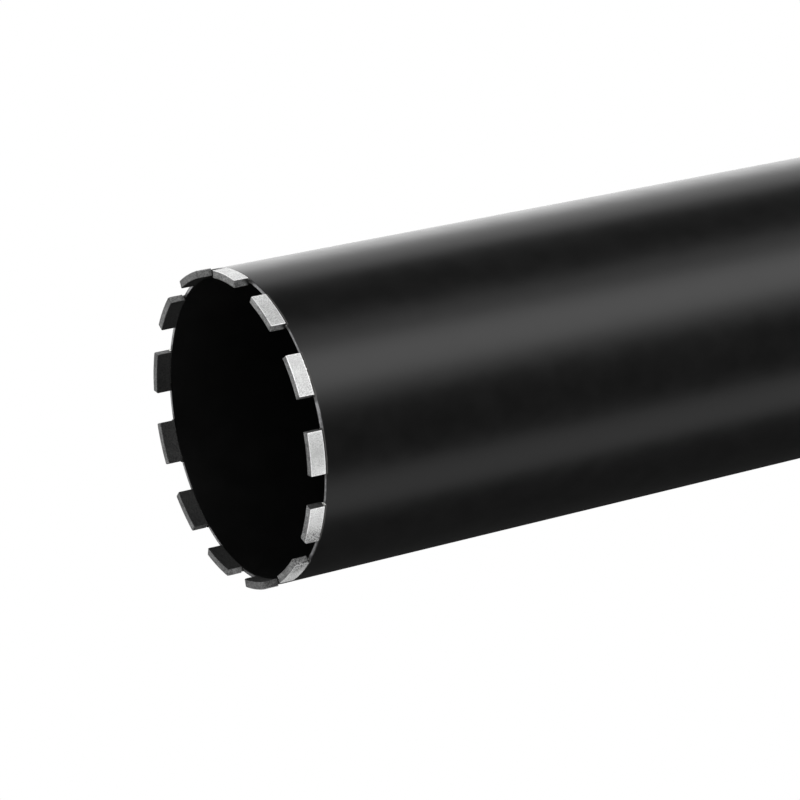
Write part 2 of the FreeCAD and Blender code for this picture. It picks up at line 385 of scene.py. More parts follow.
class Tree(Nodes):
    """A material's nodes, with a short call for each kind that the finishes use."""

    def __init__(self, name: str) -> None:
        """Starts an empty material with a surface shader and Object coordinates.

        Args:
            name: the material's name.
        """
        self.material = bpy.data.materials.new(name)
        self.material.use_nodes = True
        super().__init__(self.material.node_tree)
        self.tree.nodes.clear()
        self.output = self.node("ShaderNodeOutputMaterial")
        self.shader = self.node("ShaderNodeBsdfPrincipled")
        self.join(self.shader.outputs[0], self.output.inputs["Surface"])
        self.place = self.node("ShaderNodeTexCoord").outputs["Object"]

    def noise(self, size: float, detail: float = 2.0, stretch: Triple = (1.0, 1.0, 1.0)) -> Socket:
        """Random grain on Object coordinates.

        Args:
            size: the size of one grain, in metres.
            detail: how many finer layers it has.
            stretch: how many times finer it is along each axis.

        Returns:
            An output from 0 to 1, mostly near a half.
        """
        scaled = self.node("ShaderNodeVectorMath", operation="MULTIPLY")
        self.join(self.place, scaled.inputs[0])
        scaled.inputs[1].default_value = [part / size for part in stretch]
        grain = self.node("ShaderNodeTexNoise", noise_dimensions="3D")
        grain.inputs["Scale"].default_value = 1.0
        grain.inputs["Detail"].default_value = detail
        self.join(scaled.outputs[0], grain.inputs["Vector"])
        return grain.outputs["Fac"]

    def cells(self, size: float) -> Socket:
        """The distance from each place to the nearest of many scattered seeds.

        Args:
            size: the usual spacing of the seeds, in metres.

        Returns:
            An output of 0 at a seed and about 0.6 between seeds.
        """
        pattern = self.node("ShaderNodeTexVoronoi", feature="F1")
        pattern.inputs["Scale"].default_value = 1.0 / size
        self.join(self.place, pattern.inputs["Vector"])
        return pattern.outputs["Distance"]

    def mask(self, name: str) -> Socket:
        """An output that reads one of the piece's own masks, and 0 where the piece has no such mask."""
        return self.node("ShaderNodeAttribute", attribute_type="GEOMETRY", attribute_name=name).outputs["Fac"]

    def fit(
        self, value: Socket, low: float, high: float, to_low: float = 0.0, to_high: float = 1.0
    ) -> Socket:
        """Carries a range of values to another range, and holds it at both ends.

        Args:
            value: the output to carry over.
            low: the value that becomes to_low.
            high: the value that becomes to_high.
            to_low: the result at low.
            to_high: the result at high.

        Returns:
            The new output.
        """
        ranged = self.node("ShaderNodeMapRange", clamp=True)
        self.join(value, ranged.inputs["Value"])
        for socket, number in zip(("From Min", "From Max", "To Min", "To Max"), (low, high, to_low, to_high)):
            ranged.inputs[socket].default_value = number
        return ranged.outputs["Result"]

    def blend(self, share: Socket, first: Triple | Socket, second: Triple | Socket) -> Socket:
        """A colour between two colours.

        Args:
            share: how much of the second colour is used.
            first: a colour of three numbers, or an output.
            second: a colour of three numbers, or an output.

        Returns:
            The mixed colour's output.
        """
        made = self.node("ShaderNodeMix", data_type="RGBA")
        self.feed(made.inputs[0], share)
        for socket, colour in ((made.inputs[6], first), (made.inputs[7], second)):
            self.feed(socket, (*colour, 1.0) if isinstance(colour, tuple) else colour)
        return made.outputs[2]

    def bump(self, height: Socket, depth: float, below: Socket | None = None) -> Socket:
        """Tilts the shading normal by a height.

        Args:
            height: an output from 0 to 1.
            depth: how deep a height of 1 is, in metres.
            below: a normal from a coarser bump, if there is one.

        Returns:
            The tilted normal's output.
        """
        made = self.node("ShaderNodeBump")
        made.inputs["Strength"].default_value = 1.0
        made.inputs["Distance"].default_value = depth
        self.join(height, made.inputs["Height"])
        if below is not None:
            self.join(below, made.inputs["Normal"])
        return made.outputs["Normal"]

    def surface(
        self,
        colour: Socket | tuple[float, ...],
        metal: Socket | float,
        roughness: Socket | float,
        normal: Socket,
        specular: float = 0.5,
    ) -> bpy.types.Material:
        """Feeds the surface shader.

        Args:
            colour: the base colour, as an output or four numbers.
            metal: 1 for bare metal and 0 for a coating.
            roughness: how far the gloss is spread.
            normal: the tilted normal.
            specular: how much a coating mirrors, where a half is plain plastic.

        Returns:
            The material.
        """
        names = ("Base Color", "Metallic", "Roughness", "Normal")
        for name, value in zip(names, (colour, metal, roughness, normal)):
            self.feed(self.shader.inputs[name], value)
        self.shader.inputs["Specular IOR Level"].default_value = specular
        return self.material

    def mixed(self, share: Socket, first: bpy.types.Node, second_kind: str) -> bpy.types.Node:
        """A mix of two shaders.

        Args:
            share: how much of the second shader is used.
            first: the first shader.
            second_kind: Blender's name for the second shader's node.

        Returns:
            The mixing node.
        """
        mixing, second = self.node("ShaderNodeMixShader"), self.node(second_kind)
        for target, source in zip(mixing.inputs, (share, first.outputs[0], second.outputs[0])):
            self.join(source, target)
        return mixing


def shaded(colour: Triple, share: float) -> Triple:
    """A colour made lighter or darker by a share."""
    return tuple(share * part for part in colour)


@dataclass(frozen=True)
class SinteredMatrix:
    """Pressed and sintered metal powder with diamond grit, ground bright outside and along its edges, where a
    highlight is also painted.
    """

    full_tone: Triple = (0.77, 0.77, 0.77)
    pore: Triple = (0.26, 0.26, 0.26)
    chip: Triple = (0.08, 0.08, 0.08)
    # paler colour of the ground edges, which is also a painted highlight along the outline
    edge: Triple = (0.97, 0.97, 0.97)
    grit: Triple = (0.90, 0.91, 0.90)
    grain: float = 0.50 * MM
    chip_size: float = 0.70 * MM
    patch_size: float = 5.0 * MM
    grit_spacing: float = 1.0 * MM
    grain_depth: float = 0.10 * MM
    grit_height: float = 0.04 * MM
    roughness: float = 0.56
    metal: float = 0.35

    def material(self) -> bpy.types.Material:
        """Grey metal as light as the tone mask says, with dark pores, pale grit and brighter, smoother edges,
        whose paler colour is partly a painted highlight.

        Returns:
            The finish, which reads the masks tone, coarse and edge.
        """
        tree = Tree("sintered_matrix")
        tone = tree.mask("tone")
        grain = tree.noise(self.grain, detail=3.0)
        fine = tree.noise(0.45 * self.grain, detail=1.0)
        patches = tree.noise(self.patch_size, detail=2.0)
        seeds = tree.cells(self.grit_spacing)
        pores = tree.fit(grain, 0.47, 0.36)
        chips = tree.fit(tree.noise(self.chip_size, detail=1.0), 0.49, 0.43)
        chipped = tree.maths("MAXIMUM", tree.fit(tone, 0.5, 0.6, 0.60, 0.0), tree.mask("coarse"))
        pattern = tree.blend(tree.fit(patches, 0.35, 0.65, 0.0, 0.90), self.full_tone, self.grit)
        pattern = tree.blend(tree.fit(fine, 0.35, 0.65, 0.30, 0.0), pattern, self.pore)
        pattern = tree.blend(tree.maths("MULTIPLY", pores, 0.62), pattern, self.pore)
        pattern = tree.blend(tree.maths("MULTIPLY", chips, chipped), pattern, self.chip)
        pattern = tree.blend(tree.fit(seeds, 0.24, 0.14, 0.0, 0.45), pattern, self.grit)
        colour = tree.blend(tone, (0.0, 0.0, 0.0), pattern)
        edge = tree.maths("MULTIPLY", tree.mask("edge"), tree.fit(grain, 0.28, 0.50))
        # painted highlight along the edges, partly the paler ground steel
        colour = tree.blend(edge, colour, self.edge)
        rough = tree.fit(grain, 0.35, 0.65, self.roughness + 0.10, self.roughness - 0.06)
        rough = tree.maths("SUBTRACT", rough, tree.maths("MULTIPLY", edge, 0.18))
        normal = tree.bump(grain, self.grain_depth)
        normal = tree.bump(tree.fit(seeds, 0.0, 0.32, 1.0, 0.0), self.grit_height, normal)
        return tree.surface(colour, self.metal, rough, normal)


@dataclass(frozen=True)
class BrazeFiller:
    """Silver braze that has run out in a thin line, darkened by the heat and by painted shade under the
    segment's root.
    """

    bright: Triple = (0.62, 0.62, 0.60)
    # dark braze: heat-darkened filler and painted shade under the segment's root
    dulled_and_shaded: Triple = (0.036, 0.035, 0.034)
    patch_size: float = 1.3 * MM
    ripple: float = 0.5 * MM
    ripple_depth: float = 0.03 * MM
    metal: float = 0.9

    def material(self) -> bpy.types.Material:
        """Smooth metal, darkened by heat and by painted shade but for a few patches of a millimetre and the
        drops of the bright mask.

        Returns:
            The finish, which reads the mask bright.
        """
        tree = Tree("braze_filler")
        patches = tree.noise(self.patch_size, detail=3.0)
        share = tree.maths("MAXIMUM", tree.fit(patches, 0.58, 0.72), tree.mask("bright"))
        rough = tree.fit(patches, 0.35, 0.65, 0.55, 0.30)
        normal = tree.bump(tree.noise(self.ripple), self.ripple_depth)
        return tree.surface(tree.blend(share, self.dulled_and_shaded, self.bright), self.metal, rough, normal)


class Undercoat(Enum):
    """What shows through a thin coat of paint, as a name and how deep it is."""

    DRAWN_TUBE = ("drawn_tube", 0.0015 * MM)
    TURNED_DISC = ("turned_disc", 0.012 * MM)
    WELD_BEAD = ("weld_bead", 0.03 * MM)


@dataclass(frozen=True)
class SatinPaint:
    """Black satin paint over steel, with bare ground steel where the piece's bare mask is 1."""

    undercoat: Undercoat
    paint: Triple = (0.0036, 0.0036, 0.0036)
    dust: Triple = (0.10, 0.10, 0.10)
    bare_steel: Triple = (0.42, 0.42, 0.43)
    scorched_steel: Triple = (0.070, 0.068, 0.066)
    cloud_size: float = 14.0 * MM
    dust_size: float = 0.7 * MM
    brush_size: float = 0.35 * MM
    stain_size: float = 2.4 * MM
    ring_pitch: float = 0.35 * MM
    roughness: float = 0.30
    specular: float = 0.30

    def under_height(self, tree: Tree) -> Socket:
        """The height of what lies under the paint: long drawing lines, turning rings or a bead's grain.

        Args:
            tree: the finish's nodes.

        Returns:
            An output from 0 to 1.
        """
        if self.undercoat is Undercoat.DRAWN_TUBE:
            return tree.noise(2.5 * MM, detail=1.0, stretch=(1.0, 1.0, 0.15))
        if self.undercoat is Undercoat.WELD_BEAD:
            return tree.noise(1.2 * MM, detail=3.0)
        apart = tree.node("ShaderNodeSeparateXYZ")
        tree.join(tree.place, apart.inputs[0])
        squares = (tree.maths("POWER", apart.outputs[axis], 2.0) for axis in range(2))
        radius = tree.maths("SQRT", tree.maths("ADD", *squares))
        rings = tree.maths("SINE", tree.maths("MULTIPLY", radius, FULL_TURN / self.ring_pitch))
        worn = tree.fit(tree.noise(9.0 * MM), 0.3, 0.7, 0.4, 1.0)
        return tree.maths("MULTIPLY", tree.fit(rings, -1.0, 1.0), worn)

    def material(self) -> bpy.types.Material:
        """Satin black with faint cloudy gloss and specks of dust, and brushed steel on the bare parts.

        Returns:
            The finish, which reads the masks bare and scorched.
        """
        tree = Tree(f"satin_paint_on_{self.undercoat.value[0]}")
        cloud = tree.noise(self.cloud_size, detail=2.0)
        specks = tree.fit(tree.noise(self.dust_size, detail=1.0), 0.70, 0.80)
        shade = tree.blend(tree.fit(cloud, 0.3, 0.7), self.paint, shaded(self.paint, 1.35))
        shade = tree.blend(tree.maths("MULTIPLY", specks, 0.03), shade, self.dust)
        worn_steel = shaded(self.bare_steel, 0.35)
        brushed = tree.noise(self.brush_size, detail=3.0)
        steel = tree.blend(tree.fit(brushed, 0.35, 0.62), worn_steel, self.bare_steel)
        steel = tree.blend(tree.fit(tree.noise(self.stain_size), 0.40, 0.60, 0.80, 0.0), steel, worn_steel)
        bare, scorched = tree.mask("bare"), tree.mask("scorched")
        steel = tree.blend(scorched, steel, self.scorched_steel)
        rough = tree.fit(cloud, 0.3, 0.7, self.roughness - 0.015, self.roughness + 0.015)
        rougher = tree.maths("MULTIPLY", bare, tree.fit(scorched, 0.0, 1.0, 0.16, 0.45))
        metal = tree.maths("MULTIPLY", bare, tree.fit(scorched, 0.0, 1.0, 1.0, 0.25))
        normal = tree.bump(self.under_height(tree), self.undercoat.value[1])
        colour, rough = tree.blend(bare, shade, steel), tree.maths("ADD", rough, rougher)
        return tree.surface(colour, metal, rough, normal, self.specular)


@dataclass(frozen=True)
class TurnedSteel:
    """Bare machined steel with fine rings from the lathe, and painted shade on its dull end face."""

    light: Triple = (0.60, 0.60, 0.61)
    dark: Triple = (0.36, 0.36, 0.37)
    # painted shade for the end face, which keeps its highlight down
    end_face_shade: Triple = (0.12, 0.12, 0.12)
    edge: Triple = (0.76, 0.76, 0.77)
    roughness: float = 0.30
    ring_pitch: float = 0.28 * MM
    ring_depth: float = 0.02 * MM
    stain_size: float = 6.0 * MM
    scratch_size: float = 0.8 * MM
    scratch_depth: float = 0.01 * MM

    def material(self) -> bpy.types.Material:
        """Grey steel with rings by height, small stains, paler edges and a dull end face darkened by painted
        shade.

        Returns:
            The finish, which reads the masks edge and faced.
        """
        tree = Tree("turned_steel")
        rings = tree.noise(self.ring_pitch, detail=2.0, stretch=(0.012, 0.012, 1.0))
        stains = tree.noise(self.stain_size, detail=4.0)
        faced = tree.mask("faced")
        colour = tree.blend(tree.fit(rings, 0.30, 0.66), self.dark, self.light)
        colour = tree.blend(tree.fit(stains, 0.50, 0.78, 0.0, 0.20), colour, self.dark)
        colour = tree.blend(tree.maths("MULTIPLY", tree.mask("edge"), 0.6), colour, self.edge)
        # painted shade: the end face is darkened so that its highlight stays down
        colour = tree.blend(tree.maths("MULTIPLY", faced, 0.8), colour, self.end_face_shade)
        rough = tree.fit(stains, 0.35, 0.65, self.roughness - 0.02, self.roughness + 0.05)
        rough = tree.maths("ADD", rough, tree.maths("MULTIPLY", faced, 0.15))
        scratches = tree.noise(self.scratch_size, detail=2.0)
        normal = tree.bump(scratches, self.scratch_depth, tree.bump(rings, self.ring_depth))
        return tree.surface(colour, 1.0, rough, normal)


# The ring of segments

@dataclass(frozen=True)
class SegmentEnd:
    """One end: its cutting corner's rounding, how coarse and light its face is, and how much shade is painted
    on it at the root.
    """

    corner: float = 0.6 * MM
    coarse: float = 0.0
    tone: float = 0.28
    # how much painted shade darkens the end face at its root
    root_shade: float = 0.2


@dataclass(frozen=True)
class SegmentLook:
    """How light a segment's faces are, in shares of full grey from the first end to the second, with painted
    light and shade.
    """

    outer: Triple = (0.74, 0.74, 0.74)
    cutting: Triple = (0.18, 0.20, 0.16)
    inner: float = 0.04
    coarse: float = 0.0
    first: SegmentEnd = SegmentEnd()
    second: SegmentEnd = SegmentEnd()


# Each segment's own grey, with painted light and shade: faces set lighter or darker one by one for how the
# light falls on them.
SEGMENT_LOOKS = {
    1: SegmentLook((0.90, 0.69, 1.0), coarse=0.12, first=SegmentEnd(tone=0.115)),
    2: SegmentLook(
        (1.0, 0.88, 0.62), (0.26, 0.24, 0.27),
        first=SegmentEnd(tone=0.06), second=SegmentEnd(2.4 * MM, 1.0, 0.25),
    ),
    3: SegmentLook(
        (0.65, 0.93, 1.0), (0.23, 0.25, 0.24), coarse=0.30,
        first=SegmentEnd(1.5 * MM, 0.93, 0.35), second=SegmentEnd(1.3 * MM),
    ),
    4: SegmentLook(
        cutting=(0.155, 0.150, 0.125), inner=0.032,
        first=SegmentEnd(tone=0.19), second=SegmentEnd(2.4 * MM, 0.3, 0.21),
    ),
    5: SegmentLook(cutting=(0.14, 0.175, 0.16), inner=0.044),
    6: SegmentLook(cutting=(0.235, 0.165, 0.14), inner=0.052, first=SegmentEnd(tone=0.13)),
    7: SegmentLook(cutting=(0.17, 0.19, 0.15), inner=0.073, first=SegmentEnd(tone=0.08)),
    8: SegmentLook(cutting=(0.12, 0.15, 0.09), inner=0.032),
    9: SegmentLook(cutting=(0.19, 0.18, 0.13), inner=0.027, second=SegmentEnd(1.5 * MM, 0.3, 0.30)),
    10: SegmentLook(cutting=(0.115, 0.145, 0.125), inner=0.020, second=SegmentEnd(1.0 * MM, tone=0.18)),
    11: SegmentLook(
        (0.88, 1.0, 1.0), (0.165, 0.245, 0.245), coarse=0.10, second=SegmentEnd(tone=0.20, root_shade=0.9)
    ),
    12: SegmentLook((0.95, 0.76, 0.70), (0.32, 0.26, 0.23), coarse=0.30, second=SegmentEnd(root_shade=0.95)),
    13: SegmentLook(
        (0.74, 0.78, 0.86), (0.185, 0.24, 0.22), coarse=0.12, second=SegmentEnd(coarse=0.35, tone=0.13)
    ),
}


@dataclass
class CurvedBlock:
    """A block bent round the bit's axis, with parallel ends: its half length, its radii and its heights."""

    half_length: float
    inner: float
    outer: float
    low: float
    high: float
    edge_rounding: float
    spacing: float

    def stations(self, half: float) -> np.ndarray:
        """Grid places along one side: close together in the rounded edges, and even between them.

        Args:
            half: half of the side's length.

        Returns:
            Places from -half to half.
        """
        band = np.linspace(0.0, self.edge_rounding, 4)
        count = max(2, int(round(2.0 * (half - self.edge_rounding) / self.spacing)))
        middle = np.linspace(-half + self.edge_rounding, half - self.edge_rounding, count + 1)[1:-1]
        return np.concatenate([band - half, middle, half - band[::-1]])

    def skin(self, corner_roundings: tuple[float, float, float, float]) -> Skin:
        """The block's surface, with masks for its outer face's outline, its ends and each of its faces.

        Six grids cover a box, whose edges and corners are then rounded. The box is bent last.

        Args:
            corner_roundings: the outline's corners: low end of both lengths, then high end of both lengths.

        Returns:
            The welded surface in place at station nought. Its end mask runs from -1 to 1 along the block, its
            edge mask is 1 on the outer face's outline, and face_0 to face_5 say how much a point belongs to
            the first end, second end, inner, outer, low and high face.
        """
        half = np.array([self.half_length, (self.outer - self.inner) / 2.0, (self.high - self.low) / 2.0])
        lines = [self.stations(size) for size in half]
        sides = list(product(range(3), (-1.0, 1.0)))
        points, faces, count = [], [], 0
        for axis, side in sides:
            first, second = (axis + 1) % 3, (axis + 2) % 3
            u, v = np.meshgrid(lines[first], lines[second], indexing="ij")
            grid = np.zeros((u.size, 3))
            grid[:, axis], grid[:, first], grid[:, second] = side * half[axis], u.ravel(), v.ravel()
            cells = grid_faces(*u.shape)
            faces.append(count + (cells if side > 0 else cells[:, ::-1]))
            points.append(grid)
            count += len(grid)
        box = Skin(np.vstack(points), np.vstack(faces)).welded()
        depth = half - np.abs(box.points)
        from_border = np.minimum(depth[:, 0], depth[:, 2]) - 0.6 * self.edge_rounding
        to_outline = np.hypot(from_border, half[1] - box.points[:, 1])
        # the edge mask carries the painted highlight along the outer face's outline
        box.masks["edge"] = np.exp(-((to_outline / (0.95 * self.edge_rounding)) ** 2))
        box.masks["end"] = box.points[:, 0] / self.half_length
        touching = [
            (depth[:, axis] < MERGE_DISTANCE) & (side * box.points[:, axis] > 0) for axis, side in sides
        ]
        for index, touches in enumerate(touching):
            box.masks[f"face_{index}"] = touches / np.sum(touching, axis=0)
        box.points = self.bent(self.rounded(box.points, half, depth, corner_roundings))
        return box

    def rounded(
        self, points: np.ndarray, half: np.ndarray, depth: np.ndarray, corner_roundings: tuple[float, ...]
    ) -> np.ndarray:
        """Rounds the box's edges and the corners of its outline.

        Near an edge the depths m inside the outline and n inside the face are carried to a quarter circle of
        radius r: each becomes r - r (r - depth) / |(r - m, r - n)|. Each corner of the outline is rounded by
        carrying a square onto a quarter disc, with the larger of the two distances kept as the radius.

        Args:
            points: the box's points, about its own middle.
            half: half of the box's three sizes.
            depth: each point's depth inside the three pairs of faces.
            corner_roundings: the rounding of each corner of the outline.

        Returns:
            The rounded points.
        """
        r = self.edge_rounding
        inside, under = np.minimum(depth[:, 0], depth[:, 2]), depth[:, 1]
        near = (inside < r) & (under < r)
        away = np.maximum(np.hypot(r - inside, r - under), SMALL_LENGTH)
        inset, sunk = (np.where(near, r - r * (r - level) / away, level) for level in (inside, under))
        through = np.sign(points[:, 1]) * (half[1] - sunk)
        border = half[::2] - inset[:, None]
        flat = np.clip(points[:, ::2], -border, border)
        side = np.sign(flat)
        radius = np.array(corner_roundings)[(flat > 0) @ (1, 2)][:, None]
        core = side * (half[::2] - radius)
        out = np.maximum((flat - core) * side, 0.0)
        scale = out.max(axis=1) / np.maximum(np.hypot(out[:, 0], out[:, 1]), SMALL_LENGTH)
        in_corner = np.all(out > 0, axis=1)[:, None]
        flat = np.where(in_corner, core + side * out * scale[:, None], flat)
        return np.column_stack([flat[:, 0], through, flat[:, 1]])

    def bent(self, points: np.ndarray) -> np.ndarray:
        """Bends the box round the axis and lifts it into place: x = sqrt(radius^2 - along^2), y = along.

        Args:
            points: the box's points, about its own middle.

        Returns:
            The points on the +X side of the ring.
        """
        radius = (self.inner + self.outer) / 2.0 + points[:, 1]
        out = np.sqrt(radius**2 - points[:, 0] ** 2)
        return np.column_stack([out, points[:, 0], (self.low + self.high) / 2.0 + points[:, 2]])


@dataclass
class SegmentRing:
    """Thirteen sintered segments and the braze seams that hold them on the rim.

    A seam named in drops has a bright drop of filler at its first end, for -1, or at its second, for 1.
    """

    half_length: float = 12.2 * MM
    inner: float = 86.5 * MM
    outer: float = 91.0 * MM
    root_corner: float = 0.35 * MM
    edge: float = 0.30 * MM
    spacing: float = 0.36 * MM
    grain_size: float = 0.9 * MM
    grain_depth: float = 0.055 * MM
    wave_size: float = 5.0 * MM
    fleck_size: float = 2.4 * MM
    mottle_size: float = 1.7 * MM
    border_width: float = 0.6 * MM
    root_tone: float = 0.25
    seam_half_length: float = 12.8 * MM
    seam_overlap: float = 0.06 * MM
    seam_edge: float = 0.10 * MM
    seam_spacing: float = 0.30 * MM
    seam_run: float = 2.2 * MM
    drops: dict[int, float] = field(default_factory=lambda: {2: -1.0, 8: 1.0})

    def segment(self, number: int) -> Skin:
        """One segment, its skin sunk by grain of half a millimetre to two, deeper at a rough end.

        Args:
            number: its place round the ring, from 1.

        Returns:
            The surface in place.
        """
        look = SEGMENT_LOOKS[number]
        first, second = look.first, look.second
        block = CurvedBlock(
            self.half_length, self.inner, self.outer, 0.0, SEGMENT_TOP, self.edge, self.spacing
        )
        skin = block.skin((first.corner, second.corner, self.root_corner, self.root_corner))
        field_at = skin.points + 0.1 * number
        grain = 0.5 + 0.5 * smooth_noise(field_at, self.grain_size, number, 2)
        waves = 0.5 + 0.5 * smooth_noise(field_at, self.wave_size, 40 + number)
        end = skin.masks.pop("end")
        near_first, near_second = (np.clip(0.2 + 1.4 * side * end, 0.0, 1.0) for side in (-1.0, 1.0))
        rough = np.maximum(first.coarse * near_first, second.coarse * near_second)
        rough = np.maximum(rough, look.coarse)
        up = part_of(skin.points[:, 2], SEGMENT_TOP)
        tones = self.face_tones(skin.points, look, end, up)
        on_cutting_face = skin.masks["face_4"] > 0.0
        tone = sum(skin.masks.pop(f"face_{index}") * value for index, value in enumerate(tones))
        sunk = self.grain_depth * (grain * (1.0 + 2.5 * rough * (1.0 - up)) + 0.8 * waves)
        skin.points = skin.points - sunk[:, None] * skin.normals()
        skin.masks["edge"] *= 1.0 - 0.75 * rough**2
        skin.masks["tone"] = np.where(on_cutting_face, tones[4], tone)
        skin.masks["coarse"] = 0.9 * rough
        return skin.at_station(number)

    def face_tones(
        self, points: np.ndarray, look: SegmentLook, end: np.ndarray, up: np.ndarray
    ) -> list[np.ndarray | float]:
        """How light each of a segment's six faces is.

        The cutting face is a little lighter towards the inside and darker along both of its long edges, which
        is painted shade, mottled and flecked. The inner face is darker towards the cutting end and grows
        lighter towards the rim, as painted shade, and an end has painted shade where it meets the braze on
        the outside.

        Args:
            points: the segment's points at station nought.
            look: the segment's own tones.
            end: each point's place along the segment, from -1 to 1.
            up: each point's height, from 0 at the cutting face to 1 at the rim.

        Returns:
            One number, or one for each point, for the first end, second end, inner, outer, low and high face.
        """
        radius, _ = polar(points)
        width = self.outer - self.inner
        inside = np.clip(self.outer - radius, 0.0, width)
        # painted shade: the cutting face is darkened along both of its long edges
        border_shade = sum(np.exp(-((off / self.border_width) ** 2)) for off in (inside, width - inside))
        field_at = points + look.cutting[0]
        flecks = part_of(smooth_noise(field_at, self.fleck_size, 31, 3) - 0.22, 0.12)
        mottling = 1.0 + 0.45 * smooth_noise(field_at, self.mottle_size, 37, 2)
        cutting = np.interp(end, (-0.85, 0.0, 0.85), look.cutting) * (1.10 + 0.16 * inside / width)
        cutting = cutting * (1.0 - 0.34 * border_shade) * (1.0 - 0.35 * flecks) * mottling
        # painted shade: the inner face is darker towards the cutting end
        inner = look.inner * (0.85 + 0.30 * up)
        # painted light and shade along the outer face, from end to end
        outer = np.interp(end, (-0.9, 0.0, 0.9), look.outer)
        # painted shade at the root: an end face is darkened where it meets the braze
        root_shading = part_of(up - 0.45 - 0.4 * inside / width, 0.25)
        ends = (
            side.tone * mottling * (1.0 - 0.25 * flecks) * (1.0 - side.root_shade * root_shading)
            for side in (look.first, look.second)
        )
        return [*ends, inner, outer, cutting, self.root_tone]

    def seam(self, number: int) -> Skin:
        """One braze seam: a thin bar whose sides draw in as a meniscus, with a small run at each end.

        The sides are sunk by a wave along the seam. Past the segment's ends the lower face dips towards the
        cutting end beside the segment and rises to the rim at the seam's tip, which is the fillet that the
        filler leaves.

        Args:
            number: its place round the ring, from 1.

        Returns:
            The surface in place.
        """
        low = SEGMENT_TOP - self.seam_overlap
        block = CurvedBlock(
            self.seam_half_length, BARREL_BORE, BARREL_RADIUS, low, RIM, self.seam_edge, self.seam_spacing
        )
        skin = block.skin((0.2 * MM, 0.2 * MM, 0.12 * MM, 0.12 * MM))
        along = skin.points[:, 1]
        past = part_of(np.abs(along) - self.half_length, self.seam_half_length - self.half_length)
        runs = 0.5 + 0.5 * smooth_noise(skin.points + 0.3 * number, self.seam_run, 90 + number, 3)
        low_share = part_of(RIM - skin.points[:, 2], RIM - low)
        radius, _ = polar(skin.points)
        middle = (BARREL_BORE + BARREL_RADIUS) / 2.0
        drawn = (0.05 + 0.22 * runs) * MM * np.sign(radius - middle)
        skin.points = with_radius(skin.points, radius - drawn)
        beside = np.where(past > 0.0, (1.0 - past) ** 2, 0.0)
        drop = np.where(along * self.drops.get(number, 0.0) > 0.0, np.clip(3.0 * past, 0.0, 1.0), 0.0)
        dip = beside * (0.45 + 0.35 * runs) * (1.0 + 1.2 * drop)
        skin.points[:, 2] += low_share * MM * (past * (0.35 + 0.30 * runs) - dip)
        radius, _ = polar(skin.points)
        skin.points = with_radius(skin.points, radius + 0.5 * MM * drop * (radius > middle))
        skin.masks = {"bright": drop}
        return skin.at_station(number)

    def build(self) -> None:
        """Makes all the segments and seams in their finishes."""
        matrix, filler = SinteredMatrix().material(), BrazeFiller().material()
        for number in range(1, SEGMENTS + 1):
            name = f"{number:02d}"
            segment, seam = self.segment(number), self.seam(number)
            segment.piece(f"sintered_segment_{name}", f"segment_{name}", "diamond_segment", matrix)
            seam.piece(f"braze_line_{name}", f"braze_seam_{name}", "braze_filler", filler)


# The barrel and the crown

